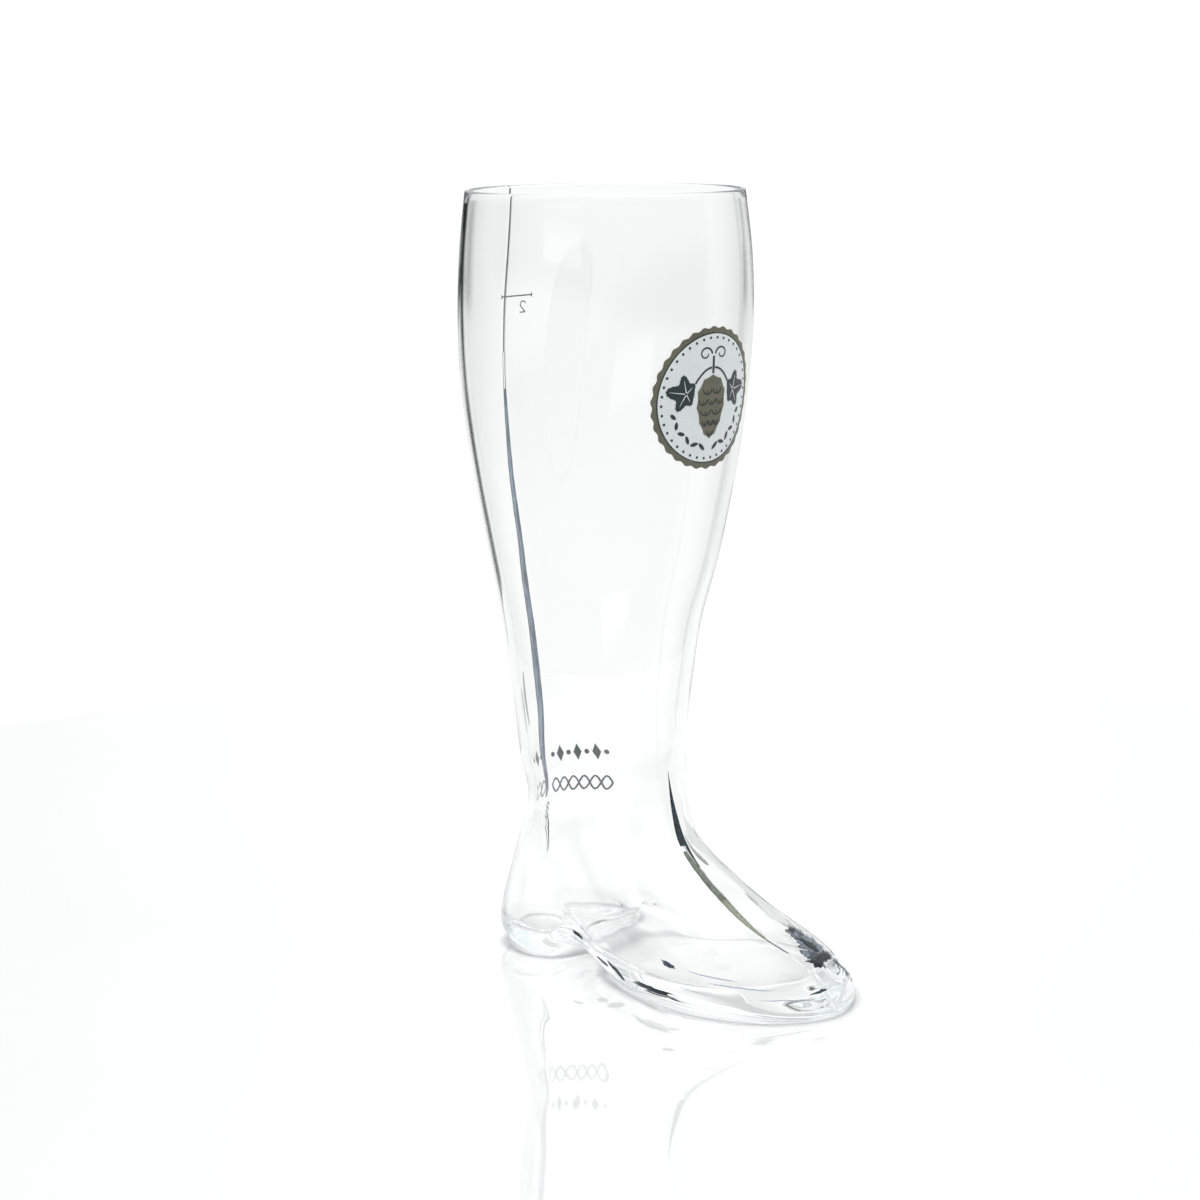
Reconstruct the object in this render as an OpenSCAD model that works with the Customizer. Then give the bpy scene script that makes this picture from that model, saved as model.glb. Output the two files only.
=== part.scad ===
// Boot-shaped drinking glass, two litres to the fill line.
// Millimetres. +X points to the toe, +Y to the left side, +Z up.
// The origin is under the middle of the glass, on the floor it stands on.

/* [Glass] */
// Height of the glass from the floor to the rim; its widths grow with it
glass_h = 342; // [280:1:400]
// Wall thickness at the rim
rim_wall = 2.2; // [1.8:0.1:3.5]
// Wall thickness of the shaft just above the ankle
ankle_wall = 3.0; // [2.4:0.1:4.5]
// Wall thickness round the foot
foot_wall = 4.2; // [3.4:0.1:6]
// Thickness of the glass under the heel and the ball of the foot
sole_t = 9; // [7:0.5:12]
// Rise of the arch between the heel and the ball
arch_h = 5; // [0:0.5:7]
// Radius of the edge round the sole
sole_edge = 5; // [3:0.5:6]
// Height of the two mould seams, down the back and down the front
seam_h = 0.35; // [0.1:0.05:0.6]

/* [Badge] */
// Diameter of the round badge on the shin
badge_d = 61; // [44:1:62]
// Height of the badge's centre
badge_z = 256; // [246:1:262]
// Width of the scalloped border
border_w = 2.6; // [1.5:0.1:4]
// Number of scallops on the border
scallops = 32; // [24:2:40]
// Number of beads inside the border
beads = 40; // [24:4:48]

/* [Marks] */
// Height of the two-litre fill line
fill_z = 292; // [284:1:298]
// Height of the middle of the ankle ornament
ankle_z = 75; // [70:1:90]
// Thickness of each fired print layer
print_t = 0.12; // [0.08:0.01:0.2]

/* [Hidden] */

// The form is drawn 336 high, in units of k millimetres, and scaled as its points are made.
k = glass_h / 336;
X_SHIFT = -34.78;            // puts the origin under the middle of the bounding box
LIFT_OFF = 0.04 / k;        // the prints stand this far off the faceted wall
RIM_WALL = rim_wall / k;
ANKLE_WALL = ankle_wall / k;
FOOT_WALL = foot_wall / k;
SOLE_T = sole_t / k;
ARCH_H = arch_h / k;
SOLE_EDGE = sole_edge / k;
SEAM_H = seam_h / k;
BADGE_D = badge_d / k;
BADGE_Z = badge_z / k;
BORDER_W = border_w / k;
FILL_Z = fill_z / k;
ANKLE_Z = ankle_z / k;
PRINT_T = print_t / k;

// Half outline of a level cut, from the heel's back (0) round to the toe (180):
// x = middle - half length * cos, y = g * sin, with g given at these angles.
PHI = [0, 20, 45, 67, 90, 112, 135, 157, 180];
// height, back x, front x, and g at each angle above
FOOT = [
  [  0, -48, 136,   56, 51, 43,   17, 37, 45,   49, 51, 46],
  [  8, -54, 129,   55, 54, 43,   30, 35, 48,   54, 55, 44],
  [ 17, -54, 118,   54, 52, 42,   28, 36, 43,   51, 53, 47],
  [ 28, -51,  89,   50, 47, 40,   32, 35, 40,   46, 50, 47],
  [ 40, -47,  69,   44, 42, 38,   33, 34, 37,   37, 42, 39],
  [ 55, -43,  49.5, 38, 36, 33.5, 33, 32, 33.5, 30, 31, 33]];
// the same for the shaft, where g is one number
SHAFT = [
  [ 70, -40,   41.5, 30],   [ 88, -42, 37,   33.5], [106, -42, 35.5, 37],   [126, -45, 38.5, 38.5],
  [150, -49,   42.5, 41],   [180, -54.5, 51, 47.5], [216, -60.5, 58, 54.5], [250, -63.5, 62, 60.5],
  [280, -63,   63.5, 63.5], [308, -60, 61.5, 64.5], [336, -57, 58,   62]];
LEVELS = concat(FOOT, [for (s = SHAFT) [s[0], s[1], s[2], s[3], s[3], s[3], s[3], s[3], s[3], s[3], s[3], s[3]]]);

// ---- smooth curve through given values --------------------------------
function pick(t, c) = [for (r = t) r[c]];
function slope(x, y, i, n) =
  i == 0 ? (y[1] - y[0]) / (x[1] - x[0]) :
  i == n - 1 ? (y[n - 1] - y[n - 2]) / (x[n - 1] - x[n - 2]) :
  (y[i + 1] - y[i - 1]) / (x[i + 1] - x[i - 1]);
function span(x, q, i = 0) = i >= len(x) - 2 || q < x[i + 1] ? i : span(x, q, i + 1);
function blend(x, y, q, flat = false) =
  let (n = len(x), i = span(x, q), h = x[i + 1] - x[i], t = (q - x[i]) / h,
       a = flat && i == 0 ? 0 : slope(x, y, i, n),
       b = flat && i == n - 2 ? 0 : slope(x, y, i + 1, n))
  (2 * t^3 - 3 * t^2 + 1) * y[i] + (t^3 - 2 * t^2 + t) * h * a
  + (3 * t^2 - 2 * t^3) * y[i + 1] + (t^3 - t^2) * h * b;
function ease(a, b, x) = let (t = min(1, max(0, (x - a) / (b - a)))) t * t * (3 - 2 * t);
function mix(a, b, t) = a + (b - a) * t;

LZ = pick(LEVELS, 0);
function level(z) = [for (c = [1:11]) blend(LZ, pick(LEVELS, c), z)];
// rise of the arch under the waist
function arch(x) = ARCH_H * ease(-16, -2, x) * (1 - ease(4, 34, x));

// ---- the outer skin ----------------------------------------------------
// a ridge on the centre line: the mould seam, all the way up the back, and down the front from the
// ankle to the toe. Above the ankle the front one has melted flat.
SEAM_W = 1.2;
function ridge(q, z) = q < 90 ? -SEAM_H * max(0, 1 - q / SEAM_W) : SEAM_H * max(0, 1 - (180 - q) / SEAM_W) * (1 - ease(70, 95, z));
// one point of the outer skin at unscaled height z and angle a (0 heel, 180 toe, 360 heel again);
// L is level(z); pulled in by `back`, `front` and `side`, and raised by `up`
function skin(L, z, a, back = 0, front = 0, side = 0, up = 0, fade = 1, r = 1) =
  let (w = (a + 360) % 360, q = w > 180 ? 360 - w : w,
       xb = L[0] + back, xf = L[1] - front,
       g = blend(PHI, [for (i = [2:10]) L[i]], q, true) - side,
       x = (xb + xf) / 2 - (xf - xb) / 2 * cos(q),
       y = (w > 180 ? 1 : -1) * g * sin(q),
       e = r * ridge(q, z))
  [(x + e + X_SHIFT) * k, y * k, (z + up + fade * arch(x) * max(0, 1 - z / 45)^2) * k];

// angles round the glass, closer together at the seams and under the badge
HALF = concat([0, SEAM_W, 5, 12, 20, 29, 38, 47, 56, 65, 74, 83, 92, 101, 110, 119, 128, 137, 145],
              [for (a = [152:4:172]) a], [175.5, 180 - SEAM_W]);
TURN = concat(HALF, [180], [for (i = [len(HALF) - 1:-1:1]) 360 - HALF[i]]);
NT = len(TURN);

function ring(z, back = 0, front = 0, side = 0, up = 0, fade = 1, r = 1) =
  let (L = level(z)) [for (a = TURN) skin(L, z, a, back, front, side, up, fade, r)];

EDGE = [0, 20, 40, 60, 80];
OUT_Z = concat([5, 8, 11.5, 15, 19, 23.5, 28, 33, 38.5, 44.5, 51, 58, 65, 73, 82, 92, 103, 115, 128, 142],
               [156, 170, 184, 198, 210, 222, 234, 246, 258, 270, 282, 294, 306, 318, 328]);
OUTER = concat(
  [for (t = EDGE) ring(SOLE_EDGE * (1 - cos(t)), back = SOLE_EDGE * (1 - sin(t)), r = sin(t),
                       front = SOLE_EDGE * (1 - sin(t)), side = SOLE_EDGE * (1 - sin(t)))],
  [for (z = OUT_Z) ring(z)]);

// ---- the inner skin ----------------------------------------------------
// thickness at the sides and the back, and further in along X under the instep, whose slope
// needs more of it, and at the toe, where the glass gathers
function side_wall(z) = blend([0, 30, 75, 130, 250, 336], [FOOT_WALL, FOOT_WALL, ANKLE_WALL + 0.3, ANKLE_WALL, (ANKLE_WALL + RIM_WALL) / 2, RIM_WALL], z);
function front_wall(z) = side_wall(z) + blend([0, 9, 16, 26, 40, 56, 74, 100, 336], [4.5, 4.5, 6, 4.5, 2.6, 1.6, 0.6, 0, 0], z);
function inside(z, s = 0, up = 0) = ring(z, back = side_wall(z) + s, front = front_wall(z) + s, side = side_wall(z) + s, up = up, fade = 1, r = 0);
IN_EDGE = [0, 25, 50, 75];
IN_R = 5;
IN_Z = concat([SOLE_T + 5, 18, 22, 27, 32, 38, 44.5, 51, 58, 65, 73, 82, 92, 103, 115, 128, 142],
              [156, 170, 184, 198, 210, 222, 234, 246, 258, 270, 282, 294, 306, 318, 328]);
INNER = concat(
  [for (t = IN_EDGE) inside(SOLE_T + IN_R * (1 - cos(t)), s = IN_R * (1 - sin(t)))],
  [for (z = IN_Z) inside(z)]);

// fire-rounded rim between the two skins
function rim_ring(t) = let (L = level(336), w = RIM_WALL / 2)
  [for (a = TURN) skin(L, 336, a, w - w * cos(t), w - w * cos(t), w - w * cos(t), w * (sin(t) - 1), 1, max(0, cos(t)))];
RIM = [for (t = [0, 30, 60, 90, 120, 150, 180]) rim_ring(t)];

RINGS = concat(OUTER, RIM, [for (i = [len(INNER) - 1:-1:0]) INNER[i]]);
NR = len(RINGS);

// strips across a closed end, pairing each right-hand point with the left-hand one
function cap(o, flip) = [for (i = [0:NT / 2 - 1])
  let (a = o + i, b = o + i + 1, c = o + (NT - i - 1) % NT, d = o + (NT - i) % NT)
  each (i == 0 ? [flip ? [a, b, c] : [a, c, b]] :
        i == NT / 2 - 1 ? [flip ? [a, b, d] : [a, d, b]] :
        flip ? [[a, b, c], [a, c, d]] : [[a, c, b], [a, d, c]])];

module glass_body() {
  color([0.86, 0.92, 0.90, 0.35])
  polyhedron(
    points = [for (r = RINGS) each r],
    faces = concat(
      cap(0, true),
      [for (i = [0:NR - 2], j = [0:NT - 1])
        let (a = i * NT + j, b = i * NT + (j + 1) % NT, c = (i + 1) * NT + (j + 1) % NT, d = (i + 1) * NT + j)
        each (i % 2 == j % 2 ? [[a, c, b], [a, d, c]] : [[a, d, b], [b, d, c]])],
      cap((NR - 1) * NT, false)),
    convexity = 8);
}

// ---- prints that lie on the outer skin ---------------------------------
// A print is drawn flat, u to the viewer's right and v up, in millimetres, about a place on the
// skin: angle a0 at height z0. At a larger angle than a0 the skin is further to the right.
function on_skin(a0, z0, u, v, off) =
  let (z = z0 + v, L = level(z), R = L[6], a = a0 + u / R * 57.296,
       p = skin(L, z, a), L2 = level(z + 1),
       ta = skin(L, z, a + 1, r = 0) - skin(L, z, a - 1, r = 0), tz = skin(L2, z + 1, a, r = 0) - skin(L, z, a, r = 0),
       n = cross(ta, tz), m = n / norm(n))
  p + m * off * k;

// thin solid between two copies of a grid of places; rows of the grid have the same length
module skin_sheet(grid, a0, z0, closed = false, t = PRINT_T, off = LIFT_OFF) {
  nr = len(grid); nc = len(grid[0]); n = nr * nc;
  lo = [for (r = grid) for (p = r) on_skin(a0, z0, p[0], p[1], off)];
  hi = [for (r = grid) for (p = r) on_skin(a0, z0, p[0], p[1], off + t)];
  last = closed ? nc - 1 : nc - 2;
  polyhedron(points = concat(lo, hi), faces = concat(
    [for (i = [0:nr - 2], j = [0:last]) let (a = i * nc + j, b = i * nc + (j + 1) % nc, c = a + nc, d = b + nc)
      each [[n + a, n + b, n + d], [n + a, n + d, n + c], [a, d, b], [a, c, d]]],
    [for (j = [0:last]) let (a = j, b = (j + 1) % nc) each [[a, b, n + b], [a, n + b, n + a]]],
    [for (j = [0:last]) let (a = (nr - 1) * nc + j, b = (nr - 1) * nc + (j + 1) % nc) each [[a, n + b, b], [a, n + a, n + b]]],
    closed ? [] : [for (i = [0:nr - 2]) let (a = i * nc, c = a + nc) each [[a, n + a, n + c], [a, n + c, c]]],
    closed ? [] : [for (i = [0:nr - 2]) let (a = i * nc + nc - 1, c = a + nc) each [[a, n + c, n + a], [a, c, n + c]]]),
    convexity = 4);
}

// filled shape round a middle: outline is a list of places, drawn with `steps` rings
module skin_disc(outline, mid, a0, z0, steps = 3, t = PRINT_T, off = LIFT_OFF) {
  nc = len(outline); nr = steps; n = nr * nc;
  g = [for (i = [1:steps]) [for (p = outline) mix(mid, p, i / steps)]];
  lo = [for (r = g) for (p = r) on_skin(a0, z0, p[0], p[1], off)];
  hi = [for (r = g) for (p = r) on_skin(a0, z0, p[0], p[1], off + t)];
  ml = on_skin(a0, z0, mid[0], mid[1], off);
  mh = on_skin(a0, z0, mid[0], mid[1], off + t);
  polyhedron(points = concat(lo, hi, [ml, mh]), faces = concat(
    [for (j = [0:nc - 1]) let (b = (j + 1) % nc) each [[2 * n, b, j], [2 * n + 1, n + j, n + b]]],
    nr < 2 ? [] : [for (i = [0:nr - 2], j = [0:nc - 1]) let (a = i * nc + j, b = i * nc + (j + 1) % nc, c = a + nc, d = b + nc)
      each [[n + a, n + d, n + b], [n + a, n + c, n + d], [a, b, d], [a, d, c]]],
    [for (j = [0:nc - 1]) let (a = (nr - 1) * nc + j, b = (nr - 1) * nc + (j + 1) % nc) each [[a, b, n + b], [a, n + b, n + a]]]),
    convexity = 6);
}

// band of width w (or a list of widths) along a list of places
function across(path, i, w) = let (n = len(path), a = path[max(0, i - 1)], b = path[min(n - 1, i + 1)], d = (b - a) / norm(b - a))
  [path[i] + [d[1], -d[0]] * w / 2, path[i] + [-d[1], d[0]] * w / 2];
module skin_band(path, w, a0, z0, t = PRINT_T, off = LIFT_OFF) {
  g = [for (i = [0:len(path) - 1]) across(path, i, is_list(w) ? w[i] : w)];
  skin_sheet([for (r = g) [r[0], r[1]]], a0, z0, t = t, off = off);
}

// ---- badge: a hop cone with two leaves in a scalloped medallion --------
BF = 180;                                    // the angle the badge is centred on, close to the front
BS = BADGE_D / 60;
R_OUT = BADGE_D / 2;
R_IN = R_OUT - BORDER_W;                     // inside of the border, outside of the keyline
R_KEY = R_IN - 0.6 * BS;                     // inside of the keyline
R_FIELD = R_KEY - 0.05;
ON_FIELD = LIFT_OFF + PRINT_T + 0.04;        // the motifs lie on the white field
ON_CONE = ON_FIELD + PRINT_T + 0.03;         // and the scales on the cone
WHITE = [0.93, 0.94, 0.95];
BRONZE = [0.40, 0.39, 0.33];
DARK = [0.05, 0.12, 0.12];
TEAL = [0.36, 0.45, 0.47];
function round_of(r, n) = [for (i = [0:n - 1]) r * [cos(i * 360 / n), sin(i * 360 / n)]];

module badge_field() { color(WHITE) skin_disc(round_of(R_FIELD, 60), [0, 0], BF, BADGE_Z, steps = 8); }

module badge_border() {
  n = scallops * 4;
  color(BRONZE)
  skin_sheet([for (r = [0, 1]) [for (i = [0:n - 1])
      let (a = -i * 360 / n, s = R_OUT - 0.4 + 0.4 * cos(scallops * a)) (r == 0 ? R_IN : s) * [cos(a), sin(a)]]],
    BF, BADGE_Z, closed = true);
}

module badge_keyline() {
  color(DARK)
  skin_sheet([for (r = [R_KEY, R_IN - 0.05]) [for (i = [0:71]) r * [cos(i * 5), -sin(i * 5)]]], BF, BADGE_Z, closed = true);
}

module badge_beads() {
  color(DARK)
  for (i = [0:beads - 1]) let (a = (i + 0.5) * 360 / beads, m = (R_FIELD - 1.5 * BS) * [cos(a), sin(a)])
    skin_disc([for (p = round_of(0.55 * BS, 8)) m + p], m, BF, BADGE_Z, steps = 1, off = ON_FIELD);
}

// small pointed leaves along an arc under the cone
module badge_sprigs() {
  color(DARK)
  for (s = [1, -1], i = [0:5]) let (a = -90 + s * (11 + i * 12), m = 20.6 * BS * [cos(a), sin(a)], t = a + 90 + s * (i % 2 == 0 ? 32 : -32), l = (2.2 - 0.12 * i) * BS, w = 0.75 * BS)
    skin_disc([for (p = [[1, 0], [0.45, 0.8], [0, 1], [-0.45, 0.8], [-1, 0], [-0.45, -0.8], [0, -1], [0.45, -0.8]])
      m + p[0] * l * [cos(t), sin(t)] + p[1] * w * [-sin(t), cos(t)]], m, BF, BADGE_Z, steps = 1, off = ON_FIELD);
}

// egg outline of the cone, point down, its edge stepped where the scales end
CONE = [0, -3.6] * BS;
module badge_hop_cone() {
  color(BRONZE)
  skin_disc([for (i = [0:59]) let (v = sin(i * 6), c = cos(i * 6))
      CONE + BS * [8.2 * c * (1 + 0.26 * v) * (1 - 0.08 * abs(sin(i * 36))), 13.4 * v * (1 - 0.05 * abs(sin(i * 36)))]],
    CONE, BF, BADGE_Z, steps = 4, off = ON_FIELD);
}

// rows of overlapping scales: arcs that hang between places on the cone
module badge_cone_scales() {
  color(DARK)
  for (r = [0:4]) let (v = 7.6 - r * 4.4, h = [5.6, 7.4, 6.4, 4.9, 2.0][r], n = [2, 3, 2, 3, 1][r])
    for (i = [0:n - 1]) let (w = 2 * h / n, u = -h + w * (i + 0.5))
      skin_band([for (j = [0:6]) let (a = 180 + j * 30) CONE + BS * [u + 0.43 * w * cos(a), v + 2.2 * sin(a)]],
        BS * 0.42, BF, BADGE_Z, off = ON_CONE);
}

// toothed leaf with a long lobe at its tip and two pairs beside it; b is the angle from the tip
function lobe(b, c, w) = exp(-pow(((b - c + 540) % 360 - 180) / w, 2));
function leaf(b) = 3.9 + 5.5 * lobe(b, 0, 27) + 3.9 * (lobe(b, 68, 22) + lobe(b, -68, 22)) + 1.5 * (lobe(b, 128, 20) + lobe(b, -128, 20));
module badge_leaves() {
  color(DARK) {
    for (s = [1, -1]) {
      m = [s * 14, 2.6] * BS;
      skin_disc([for (i = [0:71]) let (b = s > 0 ? i * 5 : 360 - i * 5, r = (leaf(b) + (i % 2) * 0.35) * BS)
          m + r * [s * cos(b + 8), sin(b + 8)]], m, BF, BADGE_Z, steps = 3, off = ON_FIELD);
    }
  }
}

// stem over the cone, a stalk to each leaf, and a curl each way at the top
module badge_stem() {
  color(DARK) {
    skin_band([for (i = [0:4]) BS * [0, 10.4 + i * 1.8]], 1.1 * BS, BF, BADGE_Z, off = ON_FIELD);
    for (s = [-1, 1]) {
      skin_band([for (i = [0:5]) BS * [s * (0.9 + i * 1.75), 12.8 - 0.05 * i - 0.24 * i * i]], 0.8 * BS, BF, BADGE_Z, off = ON_FIELD);
      skin_band([for (i = [0:14]) let (a = i * 26) BS * [s * (4.6 - (3.6 - i * 0.17) * cos(a)), 18.6 + (3.0 - i * 0.14) * sin(a)]],
        BS * 0.65, BF, BADGE_Z, off = ON_FIELD);
    }
  }
}

// ---- fill line and capacity figure, across the back seam ---------------
FL = 356;                                    // the mark is centred a little to the left of the seam
function turn_u(a, z) = (a - FL) * level(z)[6] / 57.296;
module fill_line() {
  h = 9.4;
  path = concat([-h, -h + 0.9, -6.5, -4, -1.5, 1], [for (d = [-SEAM_W, 0, SEAM_W]) turn_u(360 + d, FILL_Z)], [h - 2.4, h - 0.9, h]);
  color([0.10, 0.16, 0.17])
  skin_band([for (u = path) [u, 0]], [for (u = path) abs(u) > h - 0.1 ? 2.2 : abs(u) > h - 1 ? 0.8 : 0.62], FL, FILL_Z);
}
// a figure two, 5 mm tall, drawn as one stroke under the line
module capacity_figure() {
  c = [-4.4, -7.4];
  color([0.16, 0.24, 0.25])
  skin_band(concat([for (a = [165:-20:-35]) c + [1.5 * cos(a), 3.3 + 1.5 * sin(a)]], [c + [-0.2, 1.2], c + [-1.35, 0.15]]), 0.55, FL, FILL_Z);
  color([0.16, 0.24, 0.25])
  skin_band([for (u = [-1.6:0.65:1.65]) c + [u, -0.2]], 0.55, FL, FILL_Z);
}

// ---- ornament round the back of the ankle, broken where the seam passes
module ankle_lozenges() {
  color(TEAL)
  for (i = [-7:3]) let (u = i * 4.2, m = [u, 0])
    if (abs(u) > 2)
      skin_disc([for (p = i % 2 == 0 ? [[1.9, 0], [0.95, 1.85], [0, 3.7], [-0.95, 1.85], [-1.9, 0], [-0.95, -1.85], [0, -3.7], [0.95, -1.85]]
                                     : round_of(1.1, 10)) m + p], m, 360, ANKLE_Z + 8, steps = 1);
}
module ankle_braid() {
  color(TEAL)
  for (s = [-1, 1]) {
    skin_band([for (i = [0:48]) [-30 + i * 0.575, s * 3 * sin(i * 22.5)]], 0.85, 360, ANKLE_Z - 6, off = s > 0 ? LIFT_OFF : LIFT_OFF + PRINT_T + 0.03);
    skin_band([for (i = [0:20]) [2.6 + i * 0.575, s * 3 * sin(i * 22.5)]], 0.85, 360, ANKLE_Z - 6, off = s > 0 ? LIFT_OFF : LIFT_OFF + PRINT_T + 0.03);
  }
}

glass_body();
badge_field();
badge_border();
badge_keyline();
badge_beads();
badge_sprigs();
badge_hop_cone();
badge_cone_scales();
badge_leaves();
badge_stem();
fill_line();
capacity_figure();
ankle_lozenges();
ankle_braid();
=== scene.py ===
import math

import bmesh
import bpy
import numpy as np
from mathutils import Matrix, Vector


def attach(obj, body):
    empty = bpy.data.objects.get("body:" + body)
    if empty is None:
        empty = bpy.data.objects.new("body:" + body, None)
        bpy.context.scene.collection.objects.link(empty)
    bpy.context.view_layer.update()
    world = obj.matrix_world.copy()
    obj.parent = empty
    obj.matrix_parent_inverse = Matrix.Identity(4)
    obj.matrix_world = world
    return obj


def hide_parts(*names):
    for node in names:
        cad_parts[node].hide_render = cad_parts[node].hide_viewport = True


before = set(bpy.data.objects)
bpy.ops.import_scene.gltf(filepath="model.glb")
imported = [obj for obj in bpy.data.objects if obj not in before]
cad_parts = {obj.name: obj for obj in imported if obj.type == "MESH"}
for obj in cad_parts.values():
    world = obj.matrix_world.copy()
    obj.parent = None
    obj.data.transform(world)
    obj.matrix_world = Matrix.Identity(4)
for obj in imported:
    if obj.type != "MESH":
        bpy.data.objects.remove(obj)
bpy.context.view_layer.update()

K = 342 / 336
MM = 0.001 * K          # the drawing is 336 high, the glass 342

# ---------------------------------------------------------------- the skin
# The same level cuts as the CAD part, so that every piece here lies on it.
PHI = np.array([0, 20, 45, 67, 90, 112, 135, 157, 180.0])
FOOT = [
    (0, -48, 136, 56, 51, 43, 17, 37, 45, 49, 51, 46),
    (8, -54, 129, 55, 54, 43, 30, 35, 48, 54, 55, 44),
    (17, -54, 118, 54, 52, 42, 28, 36, 43, 51, 53, 47),
    (28, -51, 89, 50, 47, 40, 32, 35, 40, 46, 50, 47),
    (40, -47, 69, 44, 42, 38, 33, 34, 37, 37, 42, 39),
    (55, -43, 49.5, 38, 36, 33.5, 33, 32, 33.5, 30, 31, 33),
]
SHAFT = [
    (70, -40, 41.5, 30), (88, -42, 37, 33.5), (106, -42, 35.5, 37), (126, -45, 38.5, 38.5),
    (150, -49, 42.5, 41), (180, -54.5, 51, 47.5), (216, -60.5, 58, 54.5), (250, -63.5, 62, 60.5),
    (280, -63, 63.5, 63.5), (308, -60, 61.5, 64.5), (336, -57, 58, 62),
]
LEVELS = np.array([list(r) for r in FOOT] + [list(s[:3]) + [s[3]] * 9 for s in SHAFT], float)
RIM_WALL, ANKLE_WALL, FOOT_WALL, SOLE_T, ARCH_H, SOLE_EDGE = [v / K for v in (2.2, 3.0, 4.2, 9.0, 5.0, 5.0)]
X_SHIFT = -34.78
TOP = 336.0


def blend(x, y, q, flat=False):
    """Smooth curve through y at x, with the slopes the CAD part uses. y may have one column for each q."""
    x, y, q = np.asarray(x, float), np.asarray(y, float), np.asarray(q, float)
    shape = q.shape
    q = q.ravel()
    if y.ndim == 1:
        y = np.repeat(y[:, None], q.size, 1)
    else:
        y = y.reshape(len(x), -1)
    m = np.empty_like(y)
    m[0] = (y[1] - y[0]) / (x[1] - x[0])
    m[-1] = (y[-1] - y[-2]) / (x[-1] - x[-2])
    m[1:-1] = (y[2:] - y[:-2]) / (x[2:] - x[:-2])[:, None]
    if flat:
        m[0] = m[-1] = 0
    i = np.clip(np.searchsorted(x, q, side="right") - 1, 0, len(x) - 2)
    n = np.arange(q.size)
    h = x[i + 1] - x[i]
    t = (q - x[i]) / h
    out = ((2 * t**3 - 3 * t**2 + 1) * y[i, n] + (t**3 - 2 * t**2 + t) * h * m[i, n]
           + (3 * t**2 - 2 * t**3) * y[i + 1, n] + (t**3 - t**2) * h * m[i + 1, n])
    return out.reshape(shape)


def ease(a, b, x):
    t = np.clip((np.asarray(x, float) - a) / (b - a), 0, 1)
    return t * t * (3 - 2 * t)


def arch(x):
    return ARCH_H * ease(-16, -2, x) * (1 - ease(4, 34, x))


def side_wall(z):
    return blend([0, 30, 75, 130, 250, 336], [FOOT_WALL, FOOT_WALL, ANKLE_WALL + 0.3, ANKLE_WALL, (ANKLE_WALL + RIM_WALL) / 2, RIM_WALL], z)


def front_wall(z):
    return side_wall(z) + blend([0, 9, 16, 26, 40, 56, 74, 100, 336], [4.5, 4.5, 6, 4.5, 2.6, 1.6, 0.6, 0, 0], z)


def skin(z, a, back=0, front=0, side=0, up=0, seam=0.0):
    """Points of the skin in millimetres, at unscaled heights z and angles a (0 heel, 180 toe, 360 heel again)."""
    z, a, back, front, side, up = np.broadcast_arrays(*[np.asarray(v, float) for v in (z, a, back, front, side, up)])
    L = [blend(LEVELS[:, 0], LEVELS[:, c], z) for c in range(1, 12)]
    w = np.mod(a, 360)
    q = np.where(w > 180, 360 - w, w)
    xb, xf = L[0] + back, L[1] - front
    g = blend(PHI, np.array(L[2:]), q, True) - side
    x = (xb + xf) / 2 - (xf - xb) / 2 * np.cos(np.radians(q))
    y = np.where(w > 180, 1, -1) * g * np.sin(np.radians(q))
    rise = up + arch(x) * np.clip(1 - z / 45, 0, 1) ** 2
    if seam:
        x = x + seam * mould_seam(z, q, y)
    return np.stack([x + X_SHIFT, y, z + rise], -1)


def drift(z):
    """How far the parting line wanders from the middle of the back, in millimetres."""
    return blend([12, 27, 37, 47, 54, 61, 70, 90, 110, 150, 195, 300, 336], [-8.5, -6.6, -4.7, -2.2, -1.0, 0.8, 2.0, 3.0, 3.9, 3.3, 2.9, 2.6, 2.4], z)


def mould_seam(z, q, y):
    """The low ridge on the centre line: narrow and crisp near the rim, wider and rounder down the calf."""
    wb = blend([0, 40, 90, 180, 260, 336], [0.9, 1.0, 1.2, 1.1, 0.6, 0.45], z)
    hb = blend([0, 40, 90, 180, 260, 336], [0.30, 0.34, 0.40, 0.34, 0.22, 0.14], z)
    wf = blend([0, 20, 60, 95, 336], [0.9, 0.9, 0.8, 0.6, 0.6], z)
    hf = 0.36 * (1 - ease(66, 92, z))
    rear = -hb * np.exp(-(((y + drift(z)) / wb) ** 2))
    fore = hf * np.exp(-((y / wf) ** 2))
    return np.where(q < 90, rear, fore)


def gradient_noise(p, scale, seed):
    """Smooth noise, about -1 to 1, at points p in millimetres, with features of about that scale."""
    rng = np.random.default_rng(seed)
    perm = rng.permutation(256)
    grad = rng.normal(size=(256, 3))
    grad /= np.linalg.norm(grad, axis=1)[:, None]
    s = p / scale
    cell = np.floor(s).astype(int)
    f = s - cell
    u = f * f * f * (f * (f * 6 - 15) + 10)
    total = np.zeros(p.shape[:-1])
    for dx in (0, 1):
        for dy in (0, 1):
            for dz in (0, 1):
                h = perm[(perm[(perm[(cell[..., 0] + dx) % 256] + cell[..., 1] + dy) % 256] + cell[..., 2] + dz) % 256]
                d = np.stack([f[..., 0] - dx, f[..., 1] - dy, f[..., 2] - dz], -1)
                wgt = (u[..., 0] if dx else 1 - u[..., 0]) * (u[..., 1] if dy else 1 - u[..., 1]) * (u[..., 2] if dz else 1 - u[..., 2])
                total += wgt * (grad[h] * d).sum(-1)
    return total * 1.6


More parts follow.
